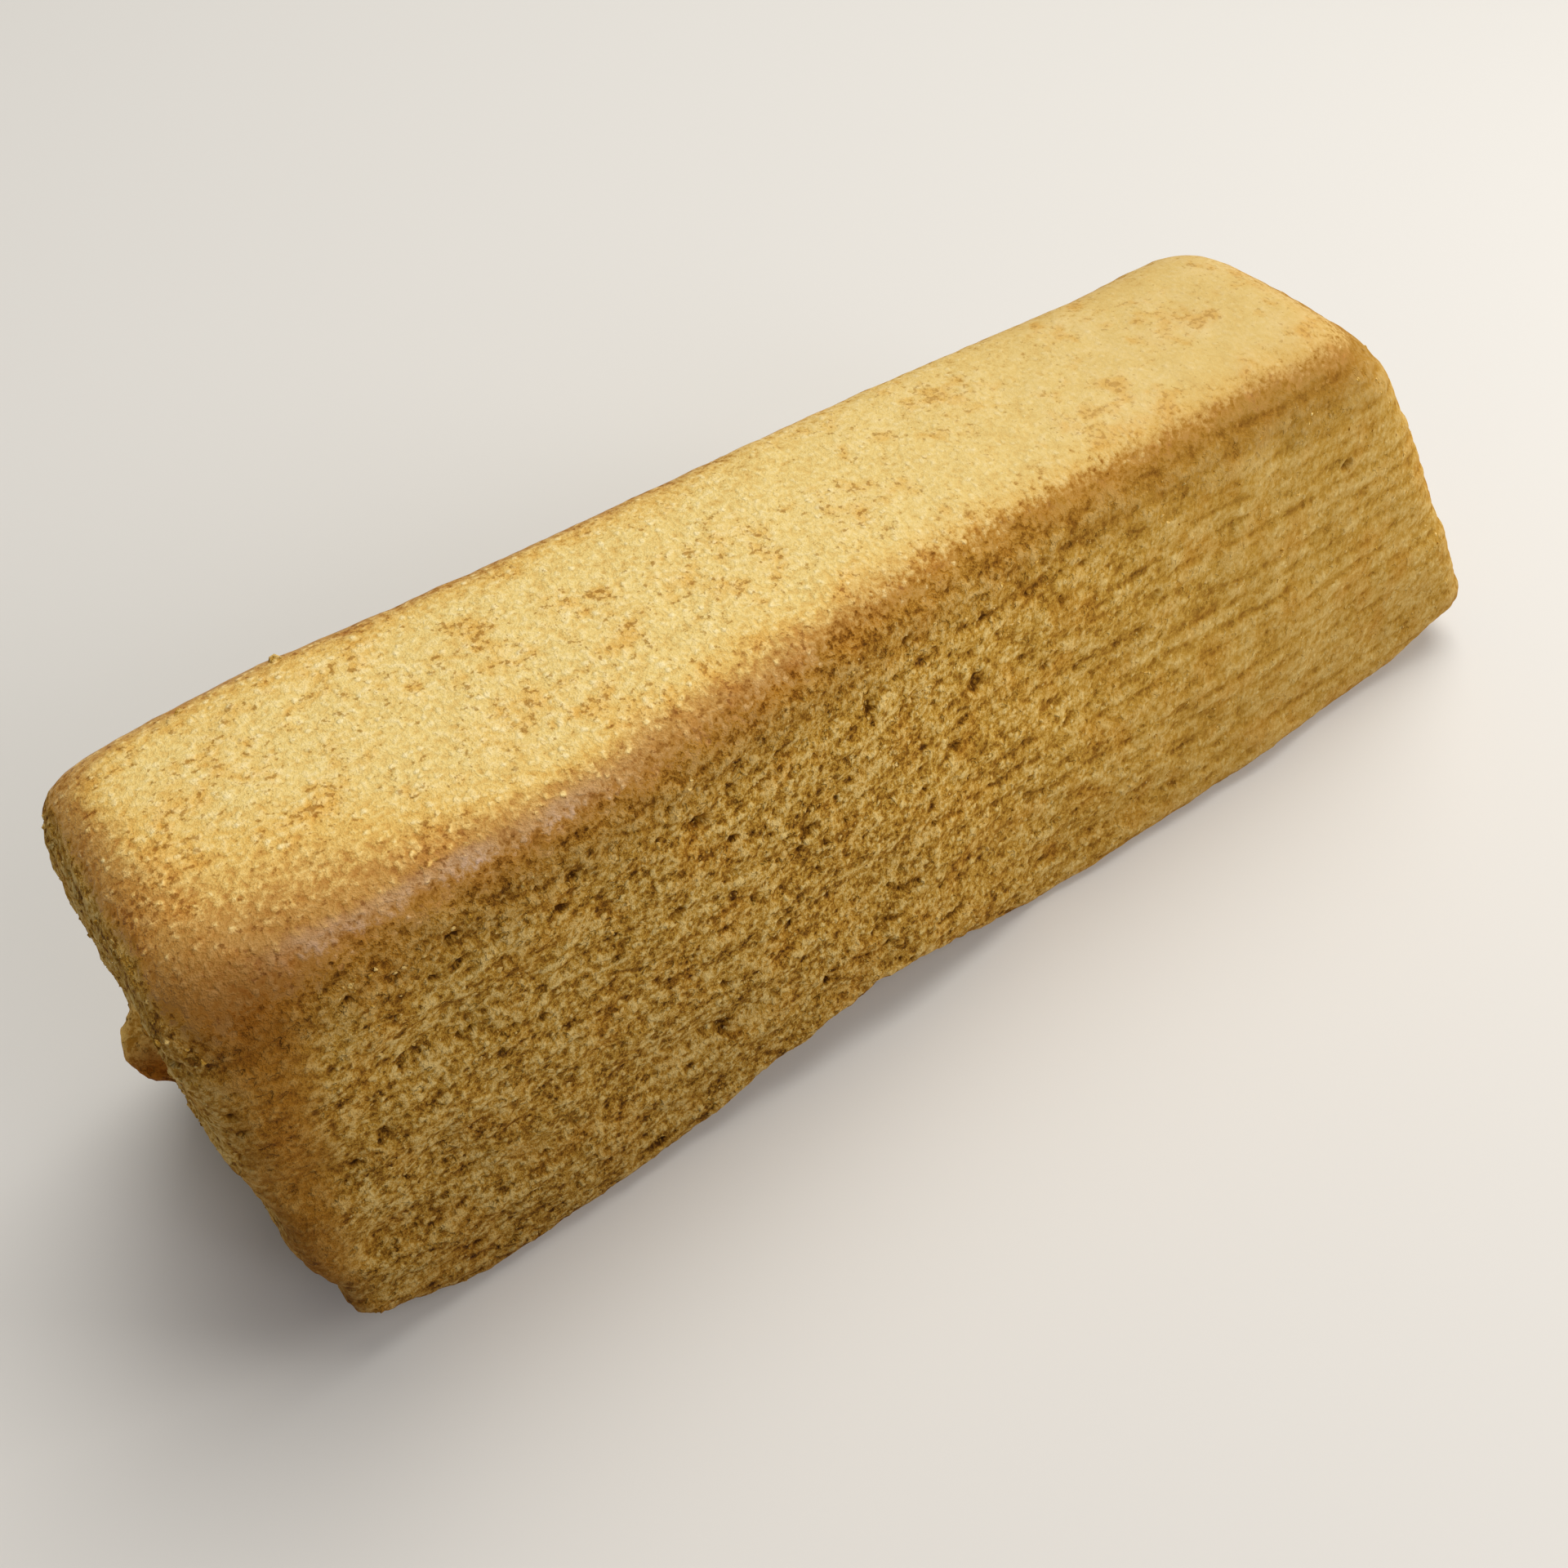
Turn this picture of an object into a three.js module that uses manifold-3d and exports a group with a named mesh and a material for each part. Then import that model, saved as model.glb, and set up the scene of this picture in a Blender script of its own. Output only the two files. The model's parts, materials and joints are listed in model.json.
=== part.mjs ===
import * as THREE from 'three';
import { mergeVertices } from 'three/addons/utils/BufferGeometryUtils.js';
import loadManifold from 'manifold-3d';

// A bar of baumkuchen: one piece of layered sponge, lying on its flat underside.
// Millimetres, +Z up. The bar runs along X with its slanted end at +X, and its
// open crumb wall faces -Y. The origin is under the middle of the bar.

const { clamp, lerp, smoothstep } = THREE.MathUtils;

// The bar before it is rounded, leaned and slanted
const barLength = 140;
const barWidth = 36;
const barHeight = 43;

// Rounded edges
const nearTopRadius = 5;
const farTopRadius = 8;
const nearBaseRadius = 1.5;
const farBaseRadius = 4.5;
const farRadiusEase = 4;           // edges stay tight until close to the far end
const topRadiusEase = 3;           // and upright ones until close to the top

// How far each wall draws in from the underside to the top
const nearFrontLean = 5.5;
const farFrontLean = 10.5;
const leanTurnStart = 30;          // the front wall's lean grows between these two lengths
const leanTurnEnd = 85;
const backLean = 2.5;
const farEndSlant = 24.3;

// Swells and sags of the whole form
const nearFrontBulge = 0.5;        // the near end swells more towards the back wall
const nearBackBulge = 2.4;
const nearEndOverhang = 1.2;
const farEndBulge = 2;
const bulgeReach = 14;
const topCrown = 0.5;
const backSwells = [
  { at: 0, reach: 20, out: -2 },
  { at: 95, reach: 50, out: 0.6 },
  { at: 130, reach: 15, out: 1.2 },
];
const waviness = 0.55;
const wavinessGrain = 32;

// Places where the lower front edge lifts off the surface below it
const edgeLifts = [
  { at: 0, before: 10, after: 10, rise: 5 },
  { at: 54, before: 32, after: 17, rise: 5 },
  { at: 138, before: 15, after: 10, rise: 4 },
];
const liftDepth = 18;              // how far a lift reaches in under the bar
const liftHeight = 20;             // and how far up the wall

// Baked layers, showing as ridges along the walls and the ends
const layerCount = 20;
const layerDepth = 0.42;
const layerStretch = 5;            // a ridge keeps its strength this many pitches along
const layerPitch = barHeight / layerCount;
const layerSway = 0.45;
const layerSwayGrain = 24;
const skinDepth = 4;               // the smooth baked skin covers this much below the top

// Crags and torn pits of the crumb
const cragDepth = 0.4;
const cragGrain = 4.5;
const pitDepth = 2.4;
const pitGrain = 6;
const pitThreshold = 0.4;
const noiseSeed = 4127;

// A torn flap of crust on the near end: a rounded slab that hangs towards the front
const flapCentre = new THREE.Vector3(-2.2, 20, 23);
const flapRadii = new THREE.Vector3(2.4, 1.5, 2.8);
const flapSquareness = 4;          // 2 would be an ellipsoid
const flapTilt = new THREE.Euler(-0.8, 0.2, 0);
const flapRoughness = 0.2;
const flapGrain = 2;

// Facets of the surface: each layer takes two rows, a crest and a groove
const lengthFacets = 40;
const widthFacets = 10;
const heightFacets = layerCount * 2;
const facetCrowding = 0.5;         // facets gather towards the edges by this share
const mergeDistance = 1e-4;

const crumbMaterial = new THREE.MeshStandardMaterial({
  color: 0xb8832f,
  roughness: 0.85,
  metalness: 0,
});

// A repeatable value from -1 to 1 for one point of a lattice
function latticeValue(i, j, k) {
  let hash = Math.imul(i, 374761393) ^ Math.imul(j, 668265263) ^ Math.imul(k, 362437) ^ noiseSeed;
  hash = Math.imul(hash ^ (hash >>> 15), 1274126177);
  hash = Math.imul(hash ^ (hash >>> 13), 2246822519);
  hash ^= hash >>> 16;
  return (hash >>> 0) / 0x7fffffff - 1;
}

// Smooth noise from -1 to 1, with features about as wide as grain
function softNoise(point, grain) {
  const scaled = point.clone().divideScalar(grain);
  const corner = scaled.clone().floor();
  const blend = scaled.clone().sub(corner);
  const ease = (t) => t * t * (3 - 2 * t);
  let total = 0;
  for (let dx = 0; dx < 2; dx += 1) {
    for (let dy = 0; dy < 2; dy += 1) {
      for (let dz = 0; dz < 2; dz += 1) {
        const weightX = dx ? ease(blend.x) : 1 - ease(blend.x);
        const weightY = dy ? ease(blend.y) : 1 - ease(blend.y);
        const weightZ = dz ? ease(blend.z) : 1 - ease(blend.z);
        const value = latticeValue(corner.x + dx, corner.y + dy, corner.z + dz);
        total += weightX * weightY * weightZ * value;
      }
    }
  }
  return total;
}

// A hump of height 1 at centre that fades to nothing over reach
function hump(value, centre, reach) {
  return 1 - smoothstep(Math.abs(value - centre), 0, reach);
}

// Gathers evenly spaced values from 0 to 1 towards both ends
function crowd(t) {
  return t - facetCrowding * Math.sin(2 * Math.PI * t) / (2 * Math.PI);
}

// Relief of the open crumb: layer ridges, crags and torn pits, outwards positive
function crumbRelief(point, outward) {
  const wall = Math.hypot(outward.x, outward.y);
  const belowSkin = 1 - smoothstep(point.z, barHeight - skinDepth - 2, barHeight - skinDepth);
  const aboveBase = smoothstep(point.z, 0, layerPitch);
  const strength = wall * belowSkin * aboveBase;
  const stretched = new THREE.Vector3(point.x / layerStretch, point.y / layerStretch, point.z);
  const layerShare = 0.55 + 0.45 * softNoise(stretched, layerPitch);
  const layers = layerDepth * layerShare * Math.cos(2 * Math.PI * point.z / layerPitch);
  const crags = cragDepth * softNoise(point, cragGrain);
  const pits = -pitDepth * Math.max(0, softNoise(point, pitGrain) - pitThreshold);
  return strength * (layers + crags + pits);
}

// Leans and slants the straight block, swells its back wall and bulges its ends
function leanWalls(point) {
  const rise = point.z / barHeight;
  const turn = smoothstep(point.x, leanTurnStart, leanTurnEnd);
  const front = lerp(nearFrontLean, farFrontLean, turn) * rise;
  const swell = backSwells.reduce((sum, { at, reach, out }) => sum + out * hump(point.x, at, reach), 0);
  const back = barWidth + (swell - backLean) * rise;
  const across = point.y / barWidth;
  const arch = Math.sin(Math.PI * clamp(rise, 0, 1));
  const nearShare = 1 - smoothstep(point.x, 0, bulgeReach);
  const farShare = smoothstep(point.x, barLength - bulgeReach, barLength);
  const nearBulge = lerp(nearFrontBulge, nearBackBulge, across);
  point.x *= 1 - farEndSlant * rise / barLength;
  point.x += farShare * farEndBulge * arch;
  point.x -= nearShare * (nearBulge * arch + nearEndOverhang * rise);
  point.y = lerp(front, back, across);
  point.z += topCrown * rise * Math.sin(Math.PI * clamp(across, 0, 1));
}

// Lifts the lower front edge clear of the surface below
function liftFrontEdge(point) {
  const inward = hump(Math.max(0, point.y), 0, liftDepth);
  const low = Math.max(0, 1 - point.z / liftHeight);
  for (const lift of edgeLifts) {
    const reach = point.x < lift.at ? lift.before : lift.after;
    point.z += lift.rise * hump(point.x, lift.at, reach) * inward * low;
  }
}

// One surface point of the bar, from its place on a unit box
function barPoint(along, across, up) {
  const block = new THREE.Vector3(along * barLength, across * barWidth, up * barHeight);
  const farShare = along ** farRadiusEase;
  const topRadius = lerp(nearTopRadius, farTopRadius, farShare);
  const baseRadius = lerp(nearBaseRadius, farBaseRadius, farShare);
  const radius = lerp(baseRadius, topRadius, up ** topRadiusEase);
  const core = new THREE.Vector3(
    clamp(block.x, radius, barLength - radius),
    clamp(block.y, radius, barWidth - radius),
    clamp(block.z, radius, barHeight - radius),
  );
  const outward = block.clone().sub(core).normalize();
  const wall = Math.hypot(outward.x, outward.y);
  const point = core.clone().addScaledVector(outward, radius);
  const wave = waviness * softNoise(point, wavinessGrain);
  const sway = layerSway * softNoise(point, layerSwayGrain) * wall * Math.sin(Math.PI * up);
  const relief = crumbRelief(point, outward);
  const push = outward.clone();
  push.z = Math.max(0, push.z);      // nothing pushes below the flat underside
  point.addScaledVector(push, relief + wave);
  point.z += sway;
  leanWalls(point);
  liftFrontEdge(point);
  return point;
}

// Keeps only the positions of a geometry and joins the vertices that coincide
function weld(geometry) {
  geometry.deleteAttribute('normal');
  geometry.deleteAttribute('uv');
  return mergeVertices(geometry, mergeDistance);
}

function makeBar() {
  const geometry = new THREE.BoxGeometry(1, 1, 1, lengthFacets, widthFacets, heightFacets);
  const position = geometry.getAttribute('position');
  for (let i = 0; i < position.count; i += 1) {
    const along = crowd(position.getX(i) + 0.5);
    const across = crowd(position.getY(i) + 0.5);
    const up = position.getZ(i) + 0.5;
    const point = barPoint(along, across, up);
    position.setXYZ(i, point.x, point.y, point.z);
  }
  return weld(geometry);
}

function makeFlap() {
  const geometry = weld(new THREE.IcosahedronGeometry(1, 3));
  const position = geometry.getAttribute('position');
  for (let i = 0; i < position.count; i += 1) {
    const point = new THREE.Vector3().fromBufferAttribute(position, i);
    const powers = point.toArray().reduce((sum, value) => sum + Math.abs(value) ** flapSquareness, 0);
    point.multiplyScalar(powers ** (-1 / flapSquareness)).multiply(flapRadii);
    const roughness = 1 + flapRoughness * softNoise(point, flapGrain);
    point.multiplyScalar(roughness).applyEuler(flapTilt).add(flapCentre);
    position.setXYZ(i, point.x, point.y, point.z);
  }
  return geometry;
}

// Joins closed geometries into one solid
async function joinSolids(geometries) {
  const wasm = await loadManifold();
  wasm.setup();
  const solids = geometries.map((geometry) => new wasm.Manifold(new wasm.Mesh({
    numProp: 3,
    vertProperties: new Float32Array(geometry.getAttribute('position').array),
    triVerts: new Uint32Array(geometry.getIndex().array),
  })));
  const mesh = solids.reduce((joined, solid) => joined.add(solid)).getMesh();
  const geometry = new THREE.BufferGeometry();
  geometry.setAttribute('position', new THREE.BufferAttribute(mesh.vertProperties, 3));
  geometry.setIndex(new THREE.BufferAttribute(mesh.triVerts, 1));
  return geometry;
}

// Moves a geometry so that the origin is under the middle of its box
function centreOnBase(geometry) {
  geometry.computeBoundingBox();
  const { min, max } = geometry.boundingBox;
  geometry.translate(-(min.x + max.x) / 2, -(min.y + max.y) / 2, -min.z);
  geometry.computeVertexNormals();
  return geometry;
}

const cake = new THREE.Mesh(centreOnBase(await joinSolids([makeBar(), makeFlap()])), crumbMaterial);
cake.name = 'cake';

const part = new THREE.Group();
part.add(cake);

export default part;
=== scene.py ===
import json
import math

import bpy
from mathutils import Matrix, Vector

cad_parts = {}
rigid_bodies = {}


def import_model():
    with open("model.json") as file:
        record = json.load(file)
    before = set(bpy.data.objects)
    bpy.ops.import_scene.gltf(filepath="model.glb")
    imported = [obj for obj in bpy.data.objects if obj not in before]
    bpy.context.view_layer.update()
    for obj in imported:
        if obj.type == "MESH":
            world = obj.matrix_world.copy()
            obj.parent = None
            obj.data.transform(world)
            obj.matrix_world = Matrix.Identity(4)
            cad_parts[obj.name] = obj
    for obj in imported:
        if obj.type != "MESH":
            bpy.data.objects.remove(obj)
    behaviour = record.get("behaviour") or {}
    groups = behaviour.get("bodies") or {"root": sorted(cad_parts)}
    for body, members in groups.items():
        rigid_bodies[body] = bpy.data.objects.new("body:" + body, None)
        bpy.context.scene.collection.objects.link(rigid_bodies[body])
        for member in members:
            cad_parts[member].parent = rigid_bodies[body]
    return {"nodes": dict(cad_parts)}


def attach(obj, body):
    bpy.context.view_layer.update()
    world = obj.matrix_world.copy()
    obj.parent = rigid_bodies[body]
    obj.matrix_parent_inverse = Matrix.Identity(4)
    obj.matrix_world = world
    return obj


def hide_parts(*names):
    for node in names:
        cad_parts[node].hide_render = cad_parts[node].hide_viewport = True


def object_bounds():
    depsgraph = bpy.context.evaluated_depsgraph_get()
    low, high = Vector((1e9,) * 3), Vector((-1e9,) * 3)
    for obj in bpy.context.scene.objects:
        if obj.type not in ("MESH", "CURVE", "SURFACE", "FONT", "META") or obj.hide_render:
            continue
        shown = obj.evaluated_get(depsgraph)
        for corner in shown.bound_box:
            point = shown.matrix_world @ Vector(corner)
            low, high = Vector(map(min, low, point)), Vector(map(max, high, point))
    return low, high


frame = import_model()
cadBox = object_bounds()
mm = 0.001
print("frame loaded with", ", ".join(frame["nodes"]))


# Small helpers

def selectOnly(piece):
    bpy.ops.object.select_all(action="DESELECT")
    piece.select_set(True)
    bpy.context.view_layer.objects.active = piece


def addModifier(piece, kind, **settings):
    modifier = piece.modifiers.new(kind.title(), kind)
    for name, value in settings.items():
        setattr(modifier, name, value)
    selectOnly(piece)
    bpy.ops.object.modifier_apply(modifier=modifier.name)


def countTriangles(piece):
    return sum(len(face.vertices) - 2 for face in piece.data.polygons)


# One node of any tree, its inputs linked or set by name or number
def addNode(tree, kind, inputs=None, **settings):
    node = tree.nodes.new(kind)
    for name, value in settings.items():
        setattr(node, name, value)
    for key, value in (inputs or {}).items():
        fillSocket(tree, node.inputs[key], value)
    return node


def fillSocket(tree, socket, value):
    if isinstance(value, bpy.types.NodeSocket):
        tree.links.new(value, socket)
    else:
        socket.default_value = value


def calc(tree, operation, *values):
    return addNode(tree, "ShaderNodeMath", dict(enumerate(values)), operation=operation).outputs[0]


# The total with a share of one more value
def addShare(tree, total, value, share):
    return calc(tree, "MULTIPLY_ADD", value, share, total)


def product(tree, first, *others):
    for other in others:
        first = calc(tree, "MULTIPLY", first, other)
    return first


# What a share leaves of one
def restOf(tree, share):
    return calc(tree, "SUBTRACT", 1.0, share)


def vectorCalc(tree, operation, *values):
    node = addNode(tree, "ShaderNodeVectorMath", dict(enumerate(values)), operation=operation)
    return node.outputs["Value" if operation in ("DOT_PRODUCT", "LENGTH") else "Vector"]


def scaled(tree, vector, amount):
    inputs = {0: vector, "Scale": amount}
    return addNode(tree, "ShaderNodeVectorMath", inputs, operation="SCALE").outputs[0]


def split(tree, vector):
    return addNode(tree, "ShaderNodeSeparateXYZ", {0: vector}).outputs


# A value eased from start to end while the source goes from low to high.
# The dictionaries below keep these four numbers, or the first two, under one name.
def ease(tree, source, low, high, start=0.0, end=1.0):
    inputs = {0: source, 1: low, 2: high, 3: start, 4: end}
    return addNode(tree, "ShaderNodeMapRange", inputs, interpolation_type="SMOOTHSTEP").outputs[0]


# The inputs and the output that a mix node uses for each kind of data
mixSockets = {"FLOAT": (2, 3, 0), "VECTOR": (4, 5, 1), "RGBA": (6, 7, 2)}


def mix(tree, kind, share, first, second, mode="MIX"):
    firstInput, secondInput, output = mixSockets[kind]
    inputs = {0: share, firstInput: first, secondInput: second}
    return addNode(tree, "ShaderNodeMix", inputs, data_type=kind, blend_type=mode).outputs[output]


def noise(tree, place, grainSize, detail=2.0, roughness=0.5, colour=False):
    inputs = {"Vector": place, "Scale": 1 / grainSize, "Detail": detail, "Roughness": roughness}
    return addNode(tree, "ShaderNodeTexNoise", inputs).outputs["Color" if colour else 0]


# The same about nought
def centredNoise(tree, place, grainSize, detail=2.0, roughness=0.5):
    return calc(tree, "SUBTRACT", noise(tree, place, grainSize, detail, roughness), 0.5)


# A place pushed about by noise
def warpPlace(tree, place, grainSize, amount):
    push = noise(tree, place, grainSize, 2.0, 0.6, True)
    push = vectorCalc(tree, "SUBTRACT", push, (0.5,) * 3)
    return vectorCalc(tree, "MULTIPLY_ADD", push, (amount,) * 3, place)


# How far a place lies from a centre, counted in reaches along each axis
def awayFrom(tree, place, centre, reach):
    away = vectorCalc(tree, "SUBTRACT", place, centre)
    return vectorCalc(tree, "LENGTH", vectorCalc(tree, "DIVIDE", away, reach))


# The socket of that name that the node's settings leave in use
def shownSocket(sockets, name):
    return [socket for socket in sockets if socket.name == name and socket.enabled][0]


def newGroup(name, kind, inputs, outputs):
    tree = bpy.data.node_groups.new(name, kind)
    for side, sockets in (("INPUT", inputs), ("OUTPUT", outputs)):
        for socketName, socketType in sockets.items():
            tree.interface.new_socket(socketName, in_out=side, socket_type=socketType)
    return tree, tree.nodes.new("NodeGroupInput"), tree.nodes.new("NodeGroupOutput")


# Camera

cameraView = {
    "place": (-0.06324, -0.0660, 0.1150),
    "turn": -36.805,         # degrees about the upright axis
    "pitch": 50.436,         # degrees below level
    "roll": 0.537,
    "lens": 32.325,
    "sensor": 36.0,
    "nearClip": 0.005,
}


def makeCamera():
    bpy.ops.object.camera_add()
    camera = bpy.context.object
    camera.name = "frontCamera"
    camera.data.lens = cameraView["lens"]
    camera.data.sensor_width = cameraView["sensor"]
    camera.data.clip_start = cameraView["nearClip"]
    turn = Matrix.Rotation(math.radians(cameraView["turn"]), 4, "Z")
    tip = Matrix.Rotation(math.radians(90 - cameraView["pitch"]), 4, "X")
    roll = Matrix.Rotation(math.radians(cameraView["roll"]), 4, "Z")
    camera.matrix_world = Matrix.Translation(cameraView["place"]) @ turn @ tip @ roll
    bpy.context.scene.camera = camera
    print("camera placed")


# The bar itself, from a copy of the plain solid. Its relief is in millimetres, all inwards.

bar = {
    # mesh
    "mergeDistance": 0.001 * mm,
    "quadAngle": 60.0,
    "smoothLevels": 2,
    "voxel": 0.475 * mm,
    "underFacing": -0.99,    # faces that look down this much
    "underHeight": 0.1 * mm,     # and lie this low are thinned
    "underKeep": 0.05,

    # steps of each blur
    "smoothBlur": 6,         # evens out the solid's own ridges
    "edgeBlur": 90,
    "turnBlur": 50,
    "upBlur": 6,
    "hollowBlur": 5,

    # baked layers, clearer towards the far end
    "layerPitch": 2.15,
    "layerSway": 2.0,
    "swayGrain": 20.0,
    "layerWave": 0.50,
    "layerStreak": 2.2,
    "streakRun": (0.05, 0.05, 0.8),      # streaks are long along the layers
    "groove": (-0.2, 1.0),
    "layerClear": (-35.0, 5.0, 0.60, 1.0),
    "layerDepth": 0.10,

    # lumps and pits of the open crumb, which is finer towards the far end
    "crumbRun": (0.65, 0.65, 1.0),       # longer along the layers
    "calm": (-25.0, 35.0, 1.0, 0.36),
    "lumpGrain": 1.35,
    "lumpRest": 0.72,
    "lumpDepth": 0.95,
    "pitGrain": 1.05,
    "pitField": 11.0,        # size of the fields that pits gather in
    "pitGather": -0.25,
    "pitInGroove": -0.05,
    "pitEdge": (0.25, 0.375),    # noise below the second opens a pit, fully so at the first
    "pitDepth": 0.50,
    "tornWarp": (1.6, 2.0),      # grain and amount that bend the torn pits out of round
    "tornEdge": (0.4, 1.2),
    "tornFront": (-8.0, -6.0, 1.0, 0.0),

    # low blotches where the crumb is fine, lower still at the far end
    "patchGrain": 2.2,
    "blotchRest": 0.12,
    "blotchDepth": 0.6,
    "blotchFade": (18.0, 50.0, 1.0, 0.35),

    # the relief fades out at the foot of the wall, on faces that look down
    "underneath": (-0.9, -0.3, 1.0, 0.0),
    "foot": (0.0, 0.8, 1.0, 0.0),

    # fields that the finish alone uses
    "cloudGrain": 6.0,
    "stainGrain": 4.0,
    "blotGrain": 1.9,
}

# The largest torn pits of the front wall: length along, height, half length, half height, depth
tornPits = (
    (-31.0, 35.5, 1.3, 0.6, 1.1),
    (-26.0, 27.5, 0.6, 0.5, 0.5),
    (-34.0, 28.0, 0.7, 0.5, 0.5),
    (-13.5, 35.0, 0.7, 0.6, 0.5),
    (-2.0, 30.5, 0.7, 1.0, 0.4),
    (-15.0, 12.5, 1.4, 0.8, 0.5),
    (-32.0, 12.0, 0.8, 1.0, 0.4),
    (-21.0, 27.5, 0.9, 0.8, 0.4),
    (-41.0, 37.5, 1.0, 0.5, 0.5),
    (45.0, 31.0, 0.8, 0.6, 0.7),
    (19.0, 28.5, 1.3, 0.7, 0.4),
)

# The baked skin ends on a ragged line a little below the top, and sooner at the cut near end
skin = {
    "line": (-60.0, 0.0, 40.9, 41.4),    # height of the line at these two lengths
    "raggedGrain": 5.0,
    "ragged": 2.4,
    "softness": 1.0,
    "closed": 2.5,           # no pits this close below the line
    "lumpGrain": 3.5,
    "lumpRest": 0.7,
    "lumpDepth": 0.4,
    "cutTurn": 0.74,         # upward share of the surface where the skin stops at the cut end
    "cutFall": 9.0,
    "cutSpan": (-68.5, -65.5, 1.0, 0.0),
    "corner": (-62.8, -12.6, 42.0),      # the upright edge below this corner is crusty too
    "cornerLean": (-0.17, -0.134, 0.0),      # and moves this far for each step down
    "cornerReach": (3.6, 4.6, 100.0),
    "cornerGrain": 4.0,
    "cornerRagged": 1.2,
    "cornerEdge": (0.1, 1.3, 1.0, 0.0),
    "cornerCalm": 0.6,
}

# The torn flap of crust on the near end
flap = {
    "centre": (-70.0, 2.0, 23.0),
    "reach": (3.4, 3.2, 4.4),
    "edge": (0.8, 1.1, 1.0, 0.0),
    "hang": (0.0, -0.7, -0.7),   # towards its tip
    "formKeep": 0.6,         # share of the flap that the smoothing leaves alone
    "reliefKeep": 0.6,
}


# Builds the relief and keeps, for the finish, how each point lay and how deep it went
def makeReliefTree():
    sockets = {"Geometry": "NodeSocketGeometry"}
    tree, start, end = newGroup("crumbRelief", "GeometryNodeTree", sockets, sockets)
    position = addNode(tree, "GeometryNodeInputPosition").outputs[0]
    normal = addNode(tree, "GeometryNodeInputNormal").outputs[0]
    place = vectorCalc(tree, "MULTIPLY", position, (1 / mm,) * 3)
    along, across, height = split(tree, place)

    def blur(value, steps):
        inputs = {"Iterations": steps}
        node = addNode(tree, "GeometryNodeBlurAttribute", inputs, data_type="FLOAT_VECTOR")
        fillSocket(tree, shownSocket(node.inputs, "Value"), value)
        return shownSocket(node.outputs, "Value")

    def store(geometry, name, value, kind="FLOAT"):
        node = addNode(tree, "GeometryNodeStoreNamedAttribute", data_type=kind, domain="POINT")
        for key, content in (("Geometry", geometry), ("Name", name), ("Value", value)):
            fillSocket(tree, shownSocket(node.inputs, key), content)
        return node.outputs["Geometry"]

    def movePoints(**inputs):
        return addNode(tree, "GeometryNodeSetPosition", inputs).outputs[0]

    # how far a point stands out of its surroundings
    def proud(steps):
        away = vectorCalc(tree, "SUBTRACT", place, blur(place, steps))
        return vectorCalc(tree, "DOT_PRODUCT", away, normal)

    def upward(steps):
        return split(tree, blur(normal, steps))["Z"]

    # the flap keeps its own form, the rest is smoothed
    onFlap = ease(tree, awayFrom(tree, place, flap["centre"], flap["reach"]), *flap["edge"])
    keep = product(tree, onFlap, flap["formKeep"])
    smoothed = mix(tree, "VECTOR", keep, blur(position, bar["smoothBlur"]), position)
    geometry = movePoints(Geometry=start.outputs[0], Position=smoothed)
    up = upward(bar["upBlur"])

    # baked layers: a wave up the wall, broken into streaks
    level = addShare(tree, height, noise(tree, place, bar["swayGrain"]), bar["layerSway"])
    wave = calc(tree, "SINE", product(tree, level, math.tau / bar["layerPitch"]))
    streaks = vectorCalc(tree, "MULTIPLY", place, bar["streakRun"])
    streak = product(tree, centredNoise(tree, streaks, 1.0, 3.0, 0.6), bar["layerStreak"])
    groove = ease(tree, addShare(tree, streak, wave, bar["layerWave"]), *bar["groove"])
    groove = product(tree, groove, ease(tree, along, *bar["layerClear"]))

    # the crumb is calmer far along, and on the crusty upright edge
    calm = ease(tree, along, *bar["calm"])
    step = calc(tree, "SUBTRACT", height, skin["corner"][2])
    leaned = vectorCalc(tree, "ADD", place, scaled(tree, skin["cornerLean"], step))
    away = awayFrom(tree, leaned, skin["corner"], skin["cornerReach"])
    ragged = centredNoise(tree, place, skin["cornerGrain"], 3.0, 0.6)
    corner = ease(tree, addShare(tree, away, ragged, skin["cornerRagged"]), *skin["cornerEdge"])
    rough = product(tree, calm, addShare(tree, 1.0, corner, -skin["cornerCalm"]))

    # lumps and pits of the open crumb, the pits gathered along the grooves
    run = vectorCalc(tree, "MULTIPLY", place, bar["crumbRun"])
    lump = calc(tree, "SUBTRACT", bar["lumpRest"], noise(tree, run, bar["lumpGrain"], 2.0, 0.6))
    lump = product(tree, lump, rough)
    pitNoise = noise(tree, run, bar["pitGrain"], 2.0, 0.55)
    pitNoise = addShare(tree, pitNoise, centredNoise(tree, place, bar["pitField"]), bar["pitGather"])
    pitNoise = addShare(tree, pitNoise, groove, bar["pitInGroove"])
    pit = product(tree, ease(tree, pitNoise, *bar["pitEdge"], bar["pitDepth"], 0.0), rough)
    warped = warpPlace(tree, place, *bar["tornWarp"])
    onFront = ease(tree, across, *bar["tornFront"])
    noLimit = 1e6                # a torn pit has no falloff through the wall
    for pitAlong, pitHeight, halfLength, halfHeight, pitDepth in tornPits:
        centre = (pitAlong, 0.0, pitHeight)
        away = awayFrom(tree, warped, centre, (halfLength, noLimit, halfHeight))
        torn = product(tree, ease(tree, away, *bar["tornEdge"], pitDepth, 0.0), onFront)
        pit = calc(tree, "MAXIMUM", pit, torn)

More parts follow.
